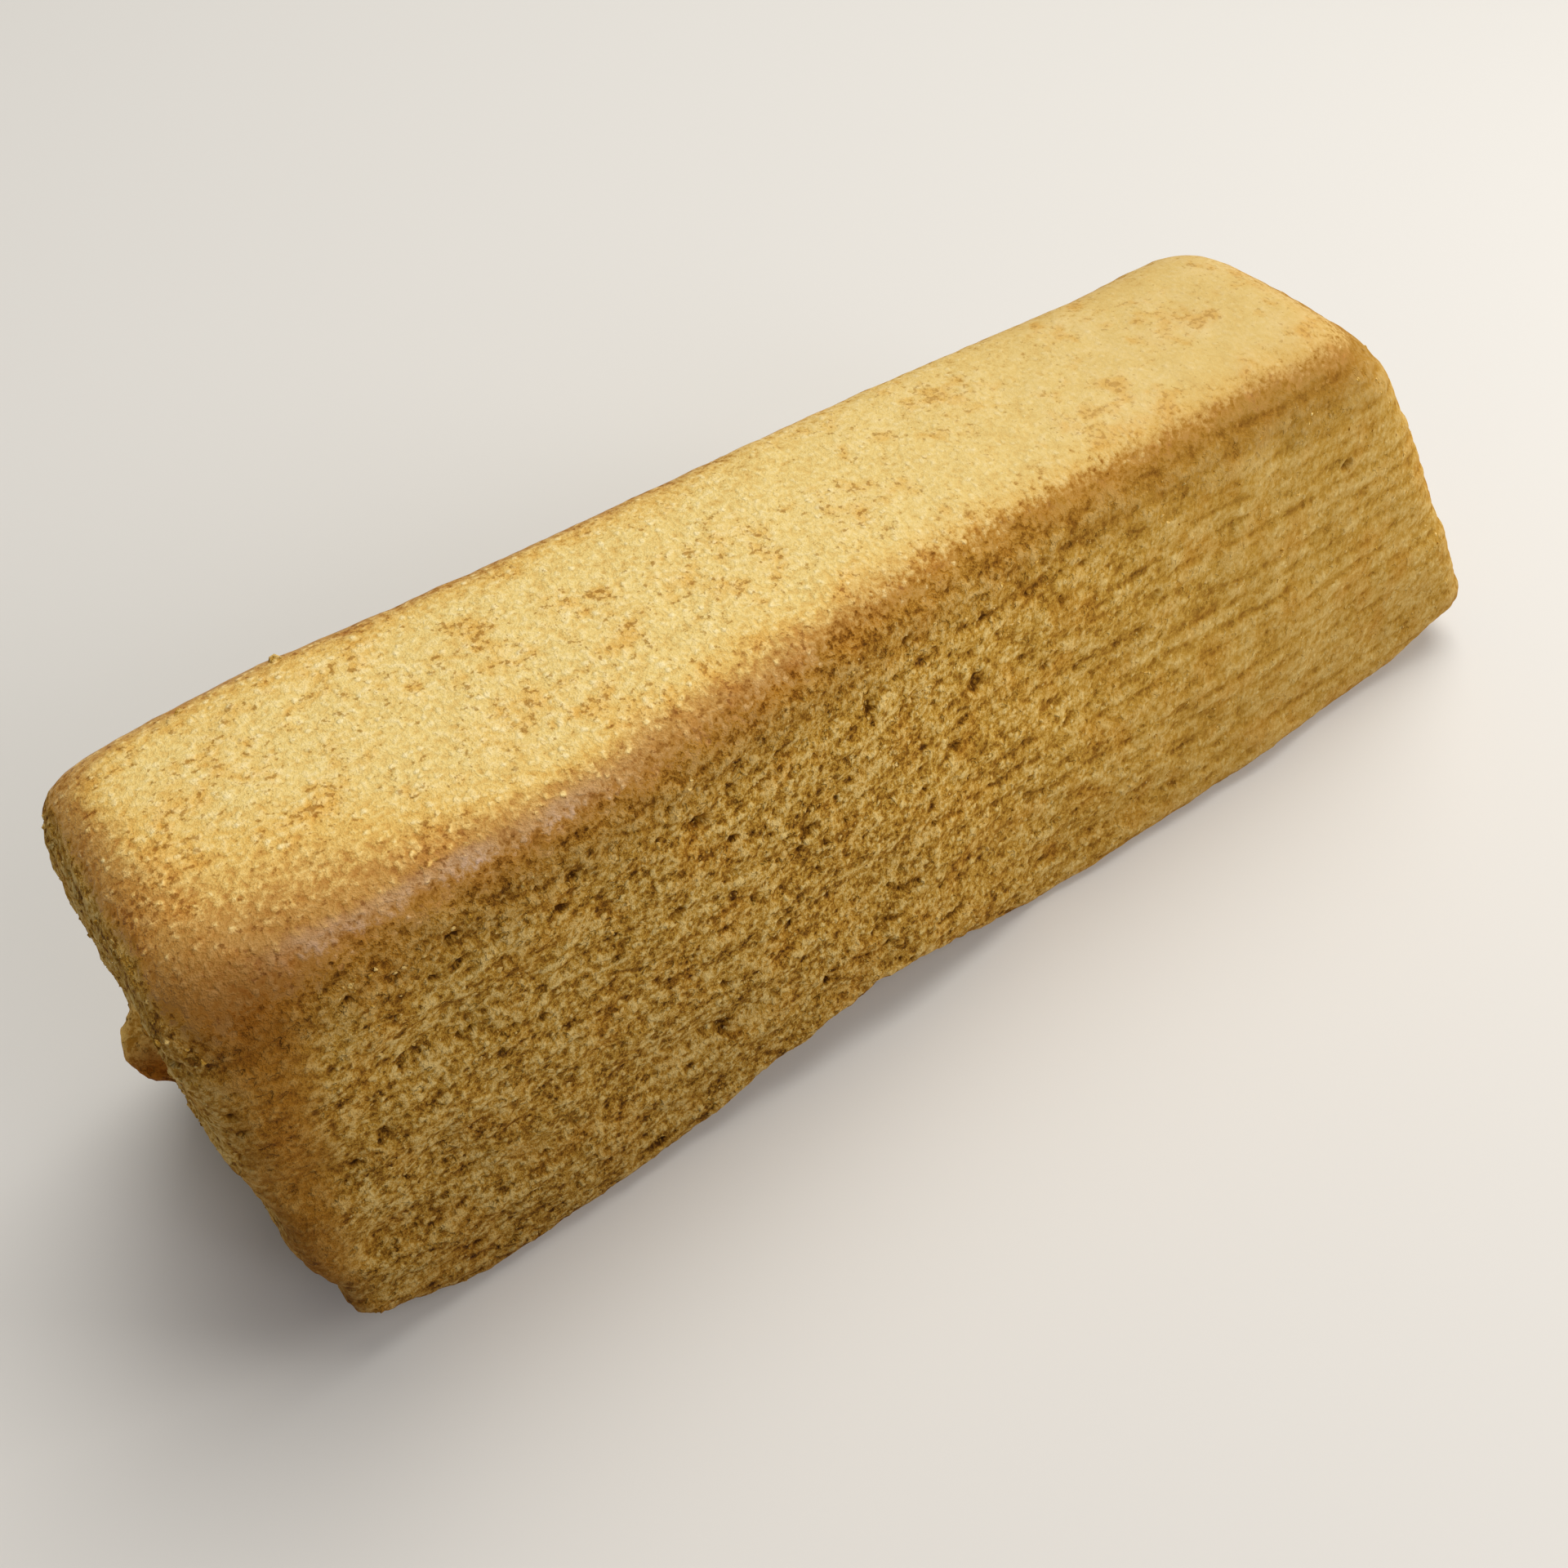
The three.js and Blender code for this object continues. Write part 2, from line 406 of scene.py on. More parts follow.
    # height above the line where the skin ends
    above = calc(tree, "SUBTRACT", height, ease(tree, along, *skin["line"]))
    cut = product(tree, calc(tree, "SUBTRACT", up, skin["cutTurn"]), skin["cutFall"])
    cut = calc(tree, "MINIMUM", above, cut)
    above = mix(tree, "FLOAT", ease(tree, along, *skin["cutSpan"]), above, cut)
    ragged = centredNoise(tree, place, skin["raggedGrain"], 4.0, 0.6)
    above = calc(tree, "ADD", above, product(tree, ragged, skin["ragged"]))
    skinShare = ease(tree, above, -skin["softness"], skin["softness"])
    pit = product(tree, pit, ease(tree, above, -skin["closed"], -skin["softness"], 1.0, 0.0))

    # all of it together; the skin is smoother and stands a little proud of the crumb below it
    depth = addShare(tree, pit, lump, bar["lumpDepth"])
    depth = addShare(tree, depth, groove, bar["layerDepth"])
    patch = centredNoise(tree, run, bar["patchGrain"], 1.0)
    blotchShare = product(tree, restOf(tree, calm), ease(tree, along, *bar["blotchFade"]))
    blotch = product(tree, calc(tree, "SUBTRACT", bar["blotchRest"], patch), blotchShare)
    depth = addShare(tree, depth, blotch, bar["blotchDepth"])
    skinLump = calc(tree, "SUBTRACT", skin["lumpRest"], noise(tree, place, skin["lumpGrain"], 3.0))
    depth = mix(tree, "FLOAT", skinShare, depth, product(tree, skinLump, skin["lumpDepth"]))
    depth = calc(tree, "MAXIMUM", depth, 0.0)
    depth = product(tree, depth, ease(tree, onFlap, 0.0, 1.0, 1.0, flap["reliefKeep"]))
    underneath = ease(tree, up, *bar["underneath"])
    atFoot = product(tree, underneath, ease(tree, height, *bar["foot"]))
    depth = product(tree, depth, restOf(tree, atFoot))

    fields = {
        "restUp": up,
        "restTurn": restOf(tree, upward(bar["turnBlur"])),
        "restEdge": proud(bar["edgeBlur"]),
        "skinAbove": above,
        "onFlap": onFlap,
        "reliefDepth": depth,
        "layerGroove": groove,
        "calm": calm,
        "corner": corner,
        "cloud": centredNoise(tree, place, bar["cloudGrain"], 3.0, 0.6),
        "patch": patch,
        "blotch": product(tree, patch, blotchShare),
        "stain": noise(tree, place, bar["stainGrain"], 2.0),
        "blot": noise(tree, place, bar["blotGrain"], 3.0, 0.6),
    }
    geometry = store(geometry, "restPlace", place, "FLOAT_VECTOR")
    for name, value in fields.items():
        geometry = store(geometry, name, value)
    inward = vectorCalc(tree, "MULTIPLY", normal, (-mm,) * 3)
    geometry = movePoints(Geometry=geometry, Offset=scaled(tree, inward, depth))
    geometry = store(geometry, "hollow", product(tree, proud(bar["hollowBlur"]), -1.0))
    tree.links.new(geometry, end.inputs[0])
    return tree


# Few faces are enough on the flat underside
def thinUnderside(piece):
    for face in piece.data.polygons:
        face.select = face.normal.z < bar["underFacing"] and face.center.z < bar["underHeight"]
    selectOnly(piece)
    bpy.ops.object.mode_set(mode="EDIT")
    bpy.ops.mesh.select_mode(type="FACE")
    bpy.ops.mesh.decimate(ratio=bar["underKeep"])
    bpy.ops.object.mode_set(mode="OBJECT")


def makeBar():
    piece = bpy.data.objects.new("cakeBar", frame["nodes"]["cake"].data.copy())
    bpy.context.collection.objects.link(piece)
    piece.data.materials.clear()
    selectOnly(piece)
    bpy.ops.object.mode_set(mode="EDIT")
    bpy.ops.mesh.select_all(action="SELECT")
    bpy.ops.mesh.remove_doubles(threshold=bar["mergeDistance"])
    angle = math.radians(bar["quadAngle"])
    bpy.ops.mesh.tris_convert_to_quads(face_threshold=angle, shape_threshold=math.pi)
    bpy.ops.object.mode_set(mode="OBJECT")
    levels = bar["smoothLevels"]
    addModifier(piece, "SUBSURF", levels=levels, render_levels=levels)
    addModifier(piece, "REMESH", mode="VOXEL", voxel_size=bar["voxel"])
    print("bar remeshed to", len(piece.data.polygons), "faces")
    addModifier(piece, "NODES", node_group=makeReliefTree())
    thinUnderside(piece)
    selectOnly(piece)
    bpy.ops.object.shade_smooth()
    print("bar carved,", countTriangles(piece), "triangles")
    return piece


# Loose crumbs that cling to the open walls, and a few stray ones on the skin

crumbs = {
    "kinds": 4,
    "uneven": 0.28,          # share of a crumb's size that its corners stray
    "sizes": (0.18, 0.62),   # millimetres across, most of them near the smaller
    "sizeBias": 2.5,
    "sunk": 0.25,            # share of its size that a crumb lies in the wall
    "perSquareMetre": 1000000,   # where the crumb is coarse, and fewer where it is fine
    "seed": 23,
    "below": -1.6,           # millimetres below the skin's line
    "facing": -0.2,          # not on walls that look down more than this
    "bare": 0.2,             # nor on more than this share of crust
    "strays": (              # along, across, size
        (-50.0, 12.8, 1.0),
        (-57.6, 11.6, 0.8),
        (-58.4, 11.0, 0.5),
    ),
    "strayHeight": 0.8,      # share of a stray's size
}


# One crumb of a millimetre, from a ball of few faces with its corners moved about
def makeCrumbSeed(number):
    bpy.ops.object.select_all(action="DESELECT")
    bpy.ops.mesh.primitive_ico_sphere_add(subdivisions=1, radius=0.5 * mm)
    seed = bpy.context.object
    bpy.ops.object.mode_set(mode="EDIT")
    bpy.ops.transform.vertex_random(offset=crumbs["uneven"] * mm, seed=number)
    bpy.ops.object.mode_set(mode="OBJECT")
    return seed


def makeScatterTree(barPiece, seeds):
    sockets = {"Geometry": "NodeSocketGeometry"}
    tree, _, end = newGroup("crumbScatter", "GeometryNodeTree", sockets, sockets)

    def attribute(name):
        return addNode(tree, "GeometryNodeInputNamedAttribute", {"Name": name}).outputs["Attribute"]

    def randomValue(kind, low, high, seed):
        node = addNode(tree, "FunctionNodeRandomValue", {"Seed": seed}, data_type=kind)
        fillSocket(tree, shownSocket(node.inputs, "Min"), low)
        fillSocket(tree, shownSocket(node.inputs, "Max"), high)
        return shownSocket(node.outputs, "Value")

    source = addNode(tree, "GeometryNodeObjectInfo", {"Object": barPiece}).outputs["Geometry"]
    wall = calc(tree, "LESS_THAN", attribute("skinAbove"), crumbs["below"])
    wall = product(tree, wall, calc(tree, "GREATER_THAN", attribute("restUp"), crumbs["facing"]))
    for name in ("corner", "onFlap"):
        wall = product(tree, wall, calc(tree, "LESS_THAN", attribute(name), crumbs["bare"]))
    calm = attribute("calm")
    density = product(tree, calm, calm, crumbs["perSquareMetre"])
    spread = {"Mesh": source, "Selection": wall, "Density": density, "Seed": crumbs["seed"]}
    spread = addNode(tree, "GeometryNodeDistributePointsOnFaces", spread)
    turn = randomValue("FLOAT_VECTOR", (0.0,) * 3, (math.tau,) * 3, 1)
    turn = addNode(tree, "FunctionNodeEulerToRotation", {0: turn}).outputs[0]
    small, large = crumbs["sizes"]
    size = calc(tree, "POWER", randomValue("FLOAT", 0.0, 1.0, 2), crumbs["sizeBias"])
    size = addShare(tree, small, size, large - small)
    sunk = scaled(tree, spread.outputs["Normal"], product(tree, size, -crumbs["sunk"] * mm))
    points = {"Geometry": spread.outputs["Points"], "Offset": sunk}
    points = addNode(tree, "GeometryNodeSetPosition", points).outputs[0]
    kinds = {"Collection": seeds, "Separate Children": True, "Reset Children": True}
    kinds = addNode(tree, "GeometryNodeCollectionInfo", kinds).outputs[0]
    placed = {"Points": points, "Instance": kinds, "Pick Instance": True}
    placed.update({"Rotation": turn, "Scale": size})
    placed = addNode(tree, "GeometryNodeInstanceOnPoints", placed).outputs[0]
    placed = addNode(tree, "GeometryNodeRealizeInstances", {0: placed}).outputs[0]
    tree.links.new(placed, end.inputs[0])
    return tree


# Strays lie on the skin straight below where they are dropped from
def dropStray(barPiece, number, along, across, size):
    spot = barPiece.ray_cast((along * mm, across * mm, 1.0), (0.0, 0.0, -1.0))[1]
    stray = makeCrumbSeed(number)
    shape = Matrix.Diagonal((size, size, crumbs["strayHeight"] * size, 1.0))
    stray.matrix_world = Matrix.Translation(spot) @ shape
    return stray


def makeLooseCrumbs(barPiece):
    seeds = bpy.data.collections.new("crumbKinds")
    bpy.context.scene.collection.children.link(seeds)
    for number in range(crumbs["kinds"]):
        seed = makeCrumbSeed(number)
        bpy.context.collection.objects.unlink(seed)
        seeds.objects.link(seed)
    piece = makeCrumbSeed(crumbs["kinds"])
    piece.name = "looseCrumbs"
    addModifier(piece, "NODES", node_group=makeScatterTree(barPiece, seeds))
    strays = [dropStray(barPiece, number, *stray) for number, stray in enumerate(crumbs["strays"])]
    selectOnly(piece)
    for stray in strays:
        stray.select_set(True)
    bpy.ops.object.join()
    piece.data.materials.clear()
    for seed in list(seeds.objects):
        bpy.data.objects.remove(seed)
    bpy.data.collections.remove(seeds)
    print("crumbs scattered,", countTriangles(piece), "triangles")
    return piece


# Finishes, with lengths in millimetres

colours = {
    # the open crumb from its pores to its palest granules; the dark stops also carry the painted shade
    # of pits, pores and hollows
    "pore": (0.100, 0.034, 0.001, 1),
    "crumbShade": (0.365, 0.166, 0.014, 1),
    "crumb": (0.632, 0.356, 0.050, 1),
    "crumbLight": (0.920, 0.668, 0.246, 1),

    # the flap and the skin
    "flapShade": (0.580, 0.280, 0.032, 1),
    "flapGold": (0.980, 0.620, 0.170, 1),
    "skinShade": (0.640, 0.385, 0.090, 1),
    "skin": (0.780, 0.588, 0.212, 1),
    "skinLight": (0.900, 0.750, 0.400, 1),

    # tints over the crumb and the flap
    # painted shade towards the near end
    "paintedNearShade": (0.59, 0.565, 0.53, 1),
    # painted shade towards the bottom
    "paintedLowShade": (0.83, 0.81, 0.77, 1),
    # painted shade, greyer towards the far end
    "paintedFarShade": (0.76, 0.76, 0.76, 1),
    "stain": (0.96, 0.86, 0.68, 1),
    # browner crumb under the skin's edge, partly painted shade
    "underSkinBrownAndShade": (0.73, 0.63, 0.51, 1),
    "crustEdge": (0.74, 0.57, 0.40, 1),
    "toastCrumb": (0.71, 0.55, 0.33, 1),
    "flapTip": (0.36, 0.20, 0.06, 1),

    # tints over the skin
    "plain": (1, 1, 1, 1),
    "amber": (0.95, 0.83, 0.62, 1),
    "paleAmber": (0.95, 0.84, 0.66, 1),
    "orange": (0.66, 0.44, 0.18, 1),
    "brown": (0.68, 0.49, 0.32, 1),
    # painted mauve sheen, for a cool reflection
    "paintedSheen": (0.62, 0.505, 0.70, 1),
    "crust": (0.52, 0.33, 0.17, 1),
    "toast": (0.31, 0.18, 0.085, 1),
    "speck": (0.60, 0.49, 0.33, 1),
    # painted shade over the skin far along
    "paintedFarSkinShade": (0.83, 0.79, 0.76, 1),
}

grain = {
    "size": 0.70,
    "tone": (0.22, 0.82),
    "middle": 0.53,          # the tone that it keeps about
    "height": 0.46,
    "granuleSpacing": 0.55,
    "granuleEdge": (0.20, 0.65, 1.0, 0.0),
    "granuleRest": 0.25,
    "granuleTone": 0.70,
    "granuleHeight": 0.16,
    "poreWarp": (0.5, 1.0),      # grain and amount that bend the pores out of round
    "poreRun": (0.75, 0.75, 1.0),    # longer along the layers
    "poreSpacing": 0.95,
    "poreSizes": -0.44,
    "poreEdge": (-0.10, 0.08, 1.0, 0.0),
    "specular": 0.10,
    "roughness": 0.90,
}


# Fine crumb for every material that shows it: tone, pores, and height in millimetres
def makeGrainGroup():
    outputs = {name: "NodeSocketFloat" for name in ("Tone", "Pore", "Height")}
    tree, start, end = newGroup("crumbGrain", "ShaderNodeTree", {"Place": "NodeSocketVector"}, outputs)
    place = start.outputs["Place"]

    def scatterCells(spot, spacing):
        cells = addNode(tree, "ShaderNodeTexVoronoi", {"Vector": spot, "Scale": 1 / spacing}).outputs
        return cells["Distance"], split(tree, cells["Color"])[0]

    # a soft grain with pale granules in it
    soft = noise(tree, place, grain["size"], 3.0, 0.75)
    distance, chance = scatterCells(place, grain["granuleSpacing"])
    pale = calc(tree, "SUBTRACT", product(tree, chance, chance), grain["granuleRest"])
    pale = product(tree, pale, ease(tree, distance, *grain["granuleEdge"]))
    tone = addShare(tree, ease(tree, soft, *grain["tone"]), pale, grain["granuleTone"])
    height = addShare(tree, product(tree, soft, grain["height"]), pale, grain["granuleHeight"])

    # pores of many sizes
    bent = warpPlace(tree, place, *grain["poreWarp"])
    bent = vectorCalc(tree, "MULTIPLY", bent, grain["poreRun"])
    distance, chance = scatterCells(bent, grain["poreSpacing"])
    pore = addShare(tree, distance, chance, grain["poreSizes"])
    pore = ease(tree, pore, *grain["poreEdge"])
    for name, value in (("Tone", tone), ("Pore", pore), ("Height", height)):
        tree.links.new(value, end.inputs[name])
    return tree


# Each stop is a place on the ramp and the name of a colour
def addRamp(tree, value, *stops):
    node = addNode(tree, "ShaderNodeValToRGB", {0: value})
    ramp = node.color_ramp
    while len(ramp.elements) < len(stops):
        ramp.elements.new(1.0)
    for element, (place, name) in zip(ramp.elements, stops):
        element.position = place
        element.color = colours[name]
    return node.outputs[0]


def newMaterial(name):
    material = bpy.data.materials.new(name)
    material.use_nodes = True
    tree = material.node_tree
    return material, tree, tree.nodes["Principled BSDF"]


def tint(tree, share, colour, shade):
    return mix(tree, "RGBA", share, colour, shade, "MULTIPLY")


# Painted shade darkens the crumb towards the low near corner, but less on the cut end
paintedShading = {
    "near": (-80.0, 48.0, 1.0, 0.0),
    "rise": 0.6,
    "cutEnd": (-70.5, -67.0, 0.4, 1.0),
    "low": (0.0, 24.0, 1.0, 0.0),
}


# The crumb's colour by its tone, with painted shade towards the near end and the bottom, for every
# material that shows it
def makeColourGroup():
    inputs = {"Tone": "NodeSocketFloat", "Place": "NodeSocketVector"}
    outputs = {"Colour": "NodeSocketColor"}
    tree, start, end = newGroup("crumbColour", "ShaderNodeTree", inputs, outputs)
    stops = ((0.0, "pore"), (0.28, "crumbShade"), (0.52, "crumb"), (0.90, "crumbLight"))
    colour = addRamp(tree, start.outputs["Tone"], *stops)
    place = split(tree, start.outputs["Place"])
    along, upright = place["X"], place["Z"]
    # painted shade towards the low near corner, less on the cut end
    near = ease(tree, addShare(tree, along, upright, paintedShading["rise"]), *paintedShading["near"])
    near = product(tree, near, ease(tree, along, *paintedShading["cutEnd"]))
    colour = tint(tree, near, colour, colours["paintedNearShade"])
    # painted shade towards the bottom
    colour = tint(tree, ease(tree, upright, *paintedShading["low"]), colour, colours["paintedLowShade"])
    tree.links.new(colour, end.inputs["Colour"])
    return tree


def useGroup(tree, group, **inputs):
    return addNode(tree, "ShaderNodeGroup", inputs, node_tree=group).outputs


def addBump(tree, shader, height):
    bump = addNode(tree, "ShaderNodeBump", {"Strength": 1.0, "Distance": mm, "Height": height})
    tree.links.new(bump.outputs[0], shader.inputs["Normal"])


# Open crumb of the bar
wallLook = {
    "base": 0.53,            # its tone, and what each thing adds to it; pores, hollows and pits add painted shade
    "grain": 0.95,
    "patch": 0.42,
    "pore": -0.12,
    "blotch": 0.40,
    "hollow": -0.42,
    "layerGroove": -0.07,
    "cloud": 0.22,
    "farPale": 0.10,
    "relief": (0.05, 0.75, 0.14, -0.19),     # painted light on crests, painted shade in pits
    "cornerCalm": -0.5,      # less uneven on the crusty edge
    "poreClosed": (-3.5, -1.0, 1.0, 0.0),    # by height above the skin's line
    "poreHeight": -0.20,
    "far": (-10.0, 40.0),    # a paler tone under a grey painted shade, so more even
    "stained": (0.45, 0.75),
    "underSkinBrownAndShade": (-7.0, 0.0),
    "pastCut": (-68.0, -65.5),
    "crusty": (0.30, 1.2, 0.0, 0.5),
    "flapTone": (0.2, 0.8),
    "flapTip": (-2.0, 1.2),
}

# Skin of the bar
skinLook = {
    "ragged": 2.6,           # how far the grain moves the skin's edge
    "edge": (-1.0, 1.0),
    "base": 0.56,
    "grain": 0.56,
    "cloud": 0.4,
    "mottle": 0.45,          # low blotches where the crumb is fine
    "blotCloud": 0.8,
    "amber": (0.50, 0.72),
    "speckGrain": 0.50,
    "speckBlot": 0.55,       # specks gather in the amber stains
    "speck": (0.87, 1.0),
    "speckCalm": (0.36, 1.0, 0.55, 1.0),
    "turn": 2.5,             # browning where the skin turns down
    "turnCloud": 0.35,
    "turnGrain": -1.2,
    "back": (3.0, 9.0),      # less on the back edge, least of all far along
    "backAlong": (-25.0, 10.0, 0.6, 1.0),
    "backLess": -0.45,
    "nearToFar": (-26.0, 4.0),   # from brown edges to pale amber ones
    "wideCorner": ((-66.0, -12.0, 41.0), (21.0, 12.0, 100.0)),   # browns sooner here: centre, reach
    "wideBrown": 0.24,
    "darkCorner": ((-66.0, -14.0, 41.0), (10.5, 7.0, 100.0)),    # and is darkest here
    "toastCloud": 0.8,
    "toastEdge": (0.3, 1.3, 1.0, 0.0),
    "sheenGrain": -0.5,      # a painted sheen on part of the near front edge, for a cool reflection
    "sheenFrom": (0.26, 0.50),
    "sheenUntil": (0.56, 0.90, 1.0, 0.0),
    "sheenFront": (-9.0, -7.0, 1.0, 0.0),
    "sheenStart": (-64.0, -57.0),
    "sheenEnd": (-46.0, -31.0, 1.0, 0.1),
    "sheenStain": (0.36, 0.56, 0.3, 1.0),
    "far": (-25.0, 45.0),    # painted shade, a little darker far along
    "gloss": (0.0, 0.8, 0.52, 0.42),         # roughness, lower where it is brown
    "lift": (0.0, 1.0, 1.0, 0.55),           # lower grain than on the open crumb
}


def makeBarMaterial(grainGroup, colourGroup):
    material, tree, shader = newMaterial("bakedSponge")

    def attribute(name, output="Fac"):
        return addNode(tree, "ShaderNodeAttribute", attribute_name=name).outputs[output]

    place = attribute("restPlace", "Vector")
    spot = split(tree, place)
    along, across = spot["X"], spot["Y"]
    grains = useGroup(tree, grainGroup, Place=place)
    grainy = calc(tree, "SUBTRACT", grains["Tone"], grain["middle"])
    above = addShare(tree, attribute("skinAbove"), grainy, skinLook["ragged"])
    skinShare = ease(tree, above, *skinLook["edge"])
    cloud = attribute("cloud")
    calm = attribute("calm")
    calmGrain = product(tree, grainy, calm)

    def toasted(corner):
        away = addShare(tree, awayFrom(tree, place, *skinLook[corner]), cloud, skinLook["toastCloud"])
        return ease(tree, away, *skinLook["toastEdge"])

    # tone of the open crumb: painted light on crests, painted shade in pits, pores and hollows, and
    # darker in soft patches
    depth = calc(tree, "DIVIDE", attribute("reliefDepth"), calm)
    uneven = addShare(tree, ease(tree, depth, *wallLook["relief"]), grainy, wallLook["grain"])
    uneven = addShare(tree, uneven, attribute("patch"), wallLook["patch"])
    pore = product(tree, grains["Pore"], ease(tree, above, *wallLook["poreClosed"]))
    uneven = addShare(tree, uneven, pore, wallLook["pore"])
    corner = attribute("corner")
    uneven = product(tree, uneven, addShare(tree, 1.0, corner, wallLook["cornerCalm"]))
    far = ease(tree, along, *wallLook["far"])
    tone = addShare(tree, wallLook["base"], far, wallLook["farPale"])
    tone = addShare(tree, tone, uneven, calm)
    # hollows are darkened as painted shade
    for name in ("blotch", "hollow", "layerGroove", "cloud"):
        tone = addShare(tree, tone, attribute(name), wallLook[name])

    # its colour, tinted here and there
    # the crumb under the skin's edge is browner, and partly painted shade
    shaded = ease(tree, above, *wallLook["underSkinBrownAndShade"])
    # the far grey tint is painted shade
    tints = {
        "stain": ease(tree, attribute("stain"), *wallLook["stained"]),
        "paintedFarShade": far,
        "underSkinBrownAndShade": product(tree, shaded, ease(tree, along, *wallLook["pastCut"])),
        "crustEdge": ease(tree, attribute("restEdge"), *wallLook["crusty"]),
        "toastCrumb": corner,
    }
    crumbColour = useGroup(tree, colourGroup, Tone=tone, Place=place)["Colour"]
    for name, share in tints.items():
        crumbColour = tint(tree, share, crumbColour, colours[name])
    gold = ease(tree, tone, *wallLook["flapTone"])
    flapColour = mix(tree, "RGBA", gold, colours["flapShade"], colours["flapGold"])
    hang = vectorCalc(tree, "SUBTRACT", place, flap["centre"])
    hang = vectorCalc(tree, "DOT_PRODUCT", hang, flap["hang"])
    flapColour = tint(tree, ease(tree, hang, *wallLook["flapTip"]), flapColour, colours["flapTip"])
    crumbColour = mix(tree, "RGBA", attribute("onFlap"), crumbColour, flapColour)

    # skin: gold with a light grain, and specks gathered in amber stains
    fine = addShare(tree, skinLook["base"], calmGrain, skinLook["grain"])
    fine = addShare(tree, fine, cloud, skinLook["cloud"])
    mottled = product(tree, attribute("patch"), restOf(tree, calm))
    fine = addShare(tree, fine, mottled, skinLook["mottle"])
    skinColour = addRamp(tree, fine, (0.15, "skinShade"), (0.50, "skin"), (0.90, "skinLight"))
    blot = addShare(tree, attribute("blot"), cloud, skinLook["blotCloud"])
    skinColour = tint(tree, ease(tree, blot, *skinLook["amber"]), skinColour, colours["amber"])
    speck = noise(tree, place, skinLook["speckGrain"], 2.0, 0.6)
    speck = ease(tree, addShare(tree, speck, blot, skinLook["speckBlot"]), *skinLook["speck"])
    speck = product(tree, speck, ease(tree, calm, *skinLook["speckCalm"]))
    skinColour = tint(tree, speck, skinColour, colours["speck"])

    # it browns where it turns down, more so on the near half and most at the near front corner
    turned = product(tree, attribute("restTurn"), skinLook["turn"])
    turned = addShare(tree, turned, cloud, skinLook["turnCloud"])
    onBack = ease(tree, across, *skinLook["back"])
    onBack = product(tree, onBack, ease(tree, along, *skinLook["backAlong"]))
    turned = product(tree, turned, addShare(tree, 1.0, onBack, skinLook["backLess"]))
    sheenTurn = product(tree, turned, addShare(tree, 1.0, grainy, skinLook["sheenGrain"]))
    turned = addShare(tree, turned, toasted("wideCorner"), skinLook["wideBrown"])
    turned = product(tree, turned, addShare(tree, 1.0, calmGrain, skinLook["turnGrain"]))
    nearStops = ((0.0, "plain"), (0.11, "amber"), (0.30, "brown"), (0.82, "crust"))
    nearBrown = addRamp(tree, turned, *nearStops)
    # a painted mauve sheen, standing for a cool reflection, on part of the near front edge
    paintedSheenShare = product(
        tree,
        ease(tree, sheenTurn, *skinLook["sheenFrom"]),
        ease(tree, sheenTurn, *skinLook["sheenUntil"]),
        ease(tree, across, *skinLook["sheenFront"]),
        ease(tree, along, *skinLook["sheenStart"]),
        ease(tree, along, *skinLook["sheenEnd"]),
        ease(tree, attribute("stain"), *skinLook["sheenStain"]),
    )
    nearBrown = mix(tree, "RGBA", paintedSheenShare, nearBrown, colours["paintedSheen"])
    farBrown = addRamp(tree, turned, (0.0, "plain"), (0.32, "paleAmber"), (0.60, "orange"))
    browning = mix(tree, "RGBA", ease(tree, along, *skinLook["nearToFar"]), nearBrown, farBrown)
    browning = mix(tree, "RGBA", toasted("darkCorner"), browning, colours["toast"])
    skinColour = tint(tree, 1.0, skinColour, browning)
    # painted shade, a little darker far along
    skinColour = tint(tree, ease(tree, along, *skinLook["far"]), skinColour, colours["paintedFarSkinShade"])

    colour = mix(tree, "RGBA", skinShare, crumbColour, skinColour)
    gloss = ease(tree, turned, *skinLook["gloss"])
    rough = mix(tree, "FLOAT", skinShare, grain["roughness"], gloss)
    tree.links.new(colour, shader.inputs["Base Color"])
    tree.links.new(rough, shader.inputs["Roughness"])
    shader.inputs["Specular IOR Level"].default_value = grain["specular"]
    lift = product(tree, ease(tree, skinShare, *skinLook["lift"]), calm)
    height = addShare(tree, grains["Height"], pore, wallLook["poreHeight"])
    addBump(tree, shader, product(tree, height, lift))
    return material


# Loose crumbs
looseLook = {
    "base": 0.64,
    "grain": 0.8,
    "variedGrain": 0.8,
    "varied": 1.2,
}


def makeCrumbMaterial(grainGroup, colourGroup):
    material, tree, shader = newMaterial("looseCrumb")
    place = addNode(tree, "ShaderNodeTexCoord").outputs["Object"]
    place = vectorCalc(tree, "MULTIPLY", place, (1 / mm,) * 3)
    grains = useGroup(tree, grainGroup, Place=place)
    grainy = calc(tree, "SUBTRACT", grains["Tone"], grain["middle"])
    tone = addShare(tree, looseLook["base"], grainy, looseLook["grain"])
    varied = centredNoise(tree, place, looseLook["variedGrain"])
    tone = addShare(tree, tone, varied, looseLook["varied"])
    colour = useGroup(tree, colourGroup, Tone=tone, Place=place)["Colour"]
    tree.links.new(colour, shader.inputs["Base Color"])
    shader.inputs["Roughness"].default_value = grain["roughness"]
    shader.inputs["Specular IOR Level"].default_value = grain["specular"]
    addBump(tree, shader, grains["Height"])
    return material


# Stage and light

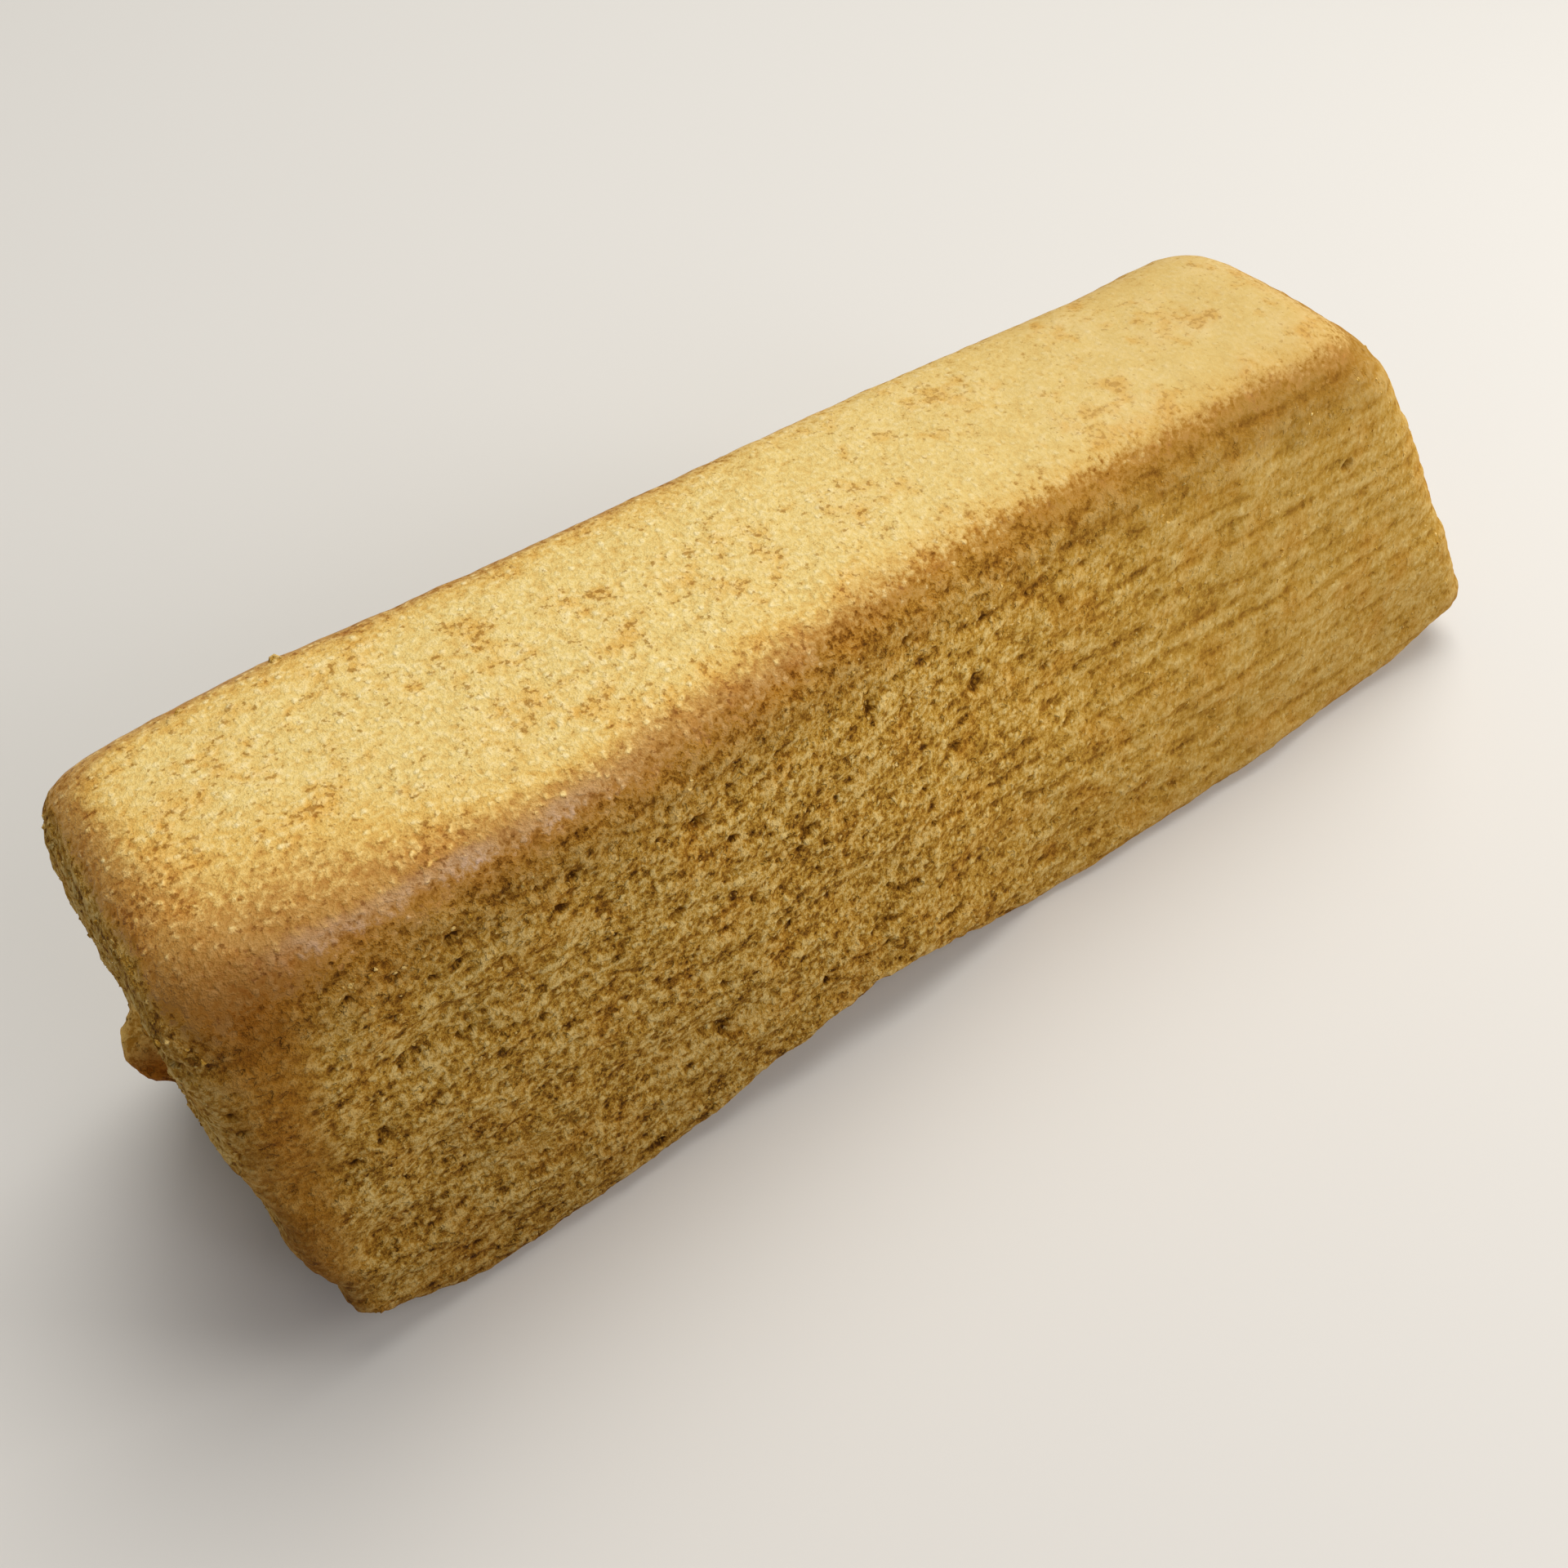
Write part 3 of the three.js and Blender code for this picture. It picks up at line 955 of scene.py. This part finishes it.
stage = {
    "floorSize": 6.0,
    "floorColour": (0.70, 0.69, 0.67, 1),
    "floorRoughness": 0.8,
    "worldColour": (1.0, 0.97, 0.93, 1),
    "worldStrength": 0.25,
}

# Each light's place, size, power and colour, all aimed at the middle of the bar
lights = {
    "overheadLight": ((0.25, 0.22, 0.80), 0.60, 5.9, (1.0, 0.97, 0.91)),
    "sideLight": ((0.32, -0.22, 0.20), 0.20, 0.8, (1.0, 0.95, 0.88)),
    "sheenLight": ((0.10, -0.50, 0.34), 0.20, 0.4, (0.90, 0.88, 1.0)),
}


def makeStage():
    bpy.ops.object.select_all(action="DESELECT")
    bpy.ops.mesh.primitive_plane_add(size=stage["floorSize"])
    floor = bpy.context.object
    floor.name = "floor"
    material, _, shader = newMaterial("paleFloor")
    shader.inputs["Base Color"].default_value = stage["floorColour"]
    shader.inputs["Roughness"].default_value = stage["floorRoughness"]
    floor.data.materials.append(material)
    world = bpy.data.worlds.new("softRoom")
    world.use_nodes = True
    background = world.node_tree.nodes["Background"]
    background.inputs["Color"].default_value = stage["worldColour"]
    background.inputs["Strength"].default_value = stage["worldStrength"]
    bpy.context.scene.world = world
    middle = (cadBox[0] + cadBox[1]) / 2
    for name, (place, size, power, colour) in lights.items():
        aim = (middle - Vector(place)).to_track_quat("-Z", "Y").to_euler()
        bpy.ops.object.light_add(type="AREA", location=place, rotation=aim)
        lamp = bpy.context.object
        lamp.name = name
        lamp.data.size = size
        lamp.data.energy = power
        lamp.data.color = colour
        lamp.visible_camera = False
    bpy.context.scene.view_settings.view_transform = "Standard"
    print("stage lit")


makeCamera()
cakeBar = makeBar()
grainGroup = makeGrainGroup()
colourGroup = makeColourGroup()
cakeBar.data.materials.append(makeBarMaterial(grainGroup, colourGroup))
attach(cakeBar, "root")
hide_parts("cake")
looseCrumbs = makeLooseCrumbs(cakeBar)
looseCrumbs.data.materials.append(makeCrumbMaterial(grainGroup, colourGroup))
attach(looseCrumbs, "root")
print("finishes given to the bar and its crumbs")
makeStage()
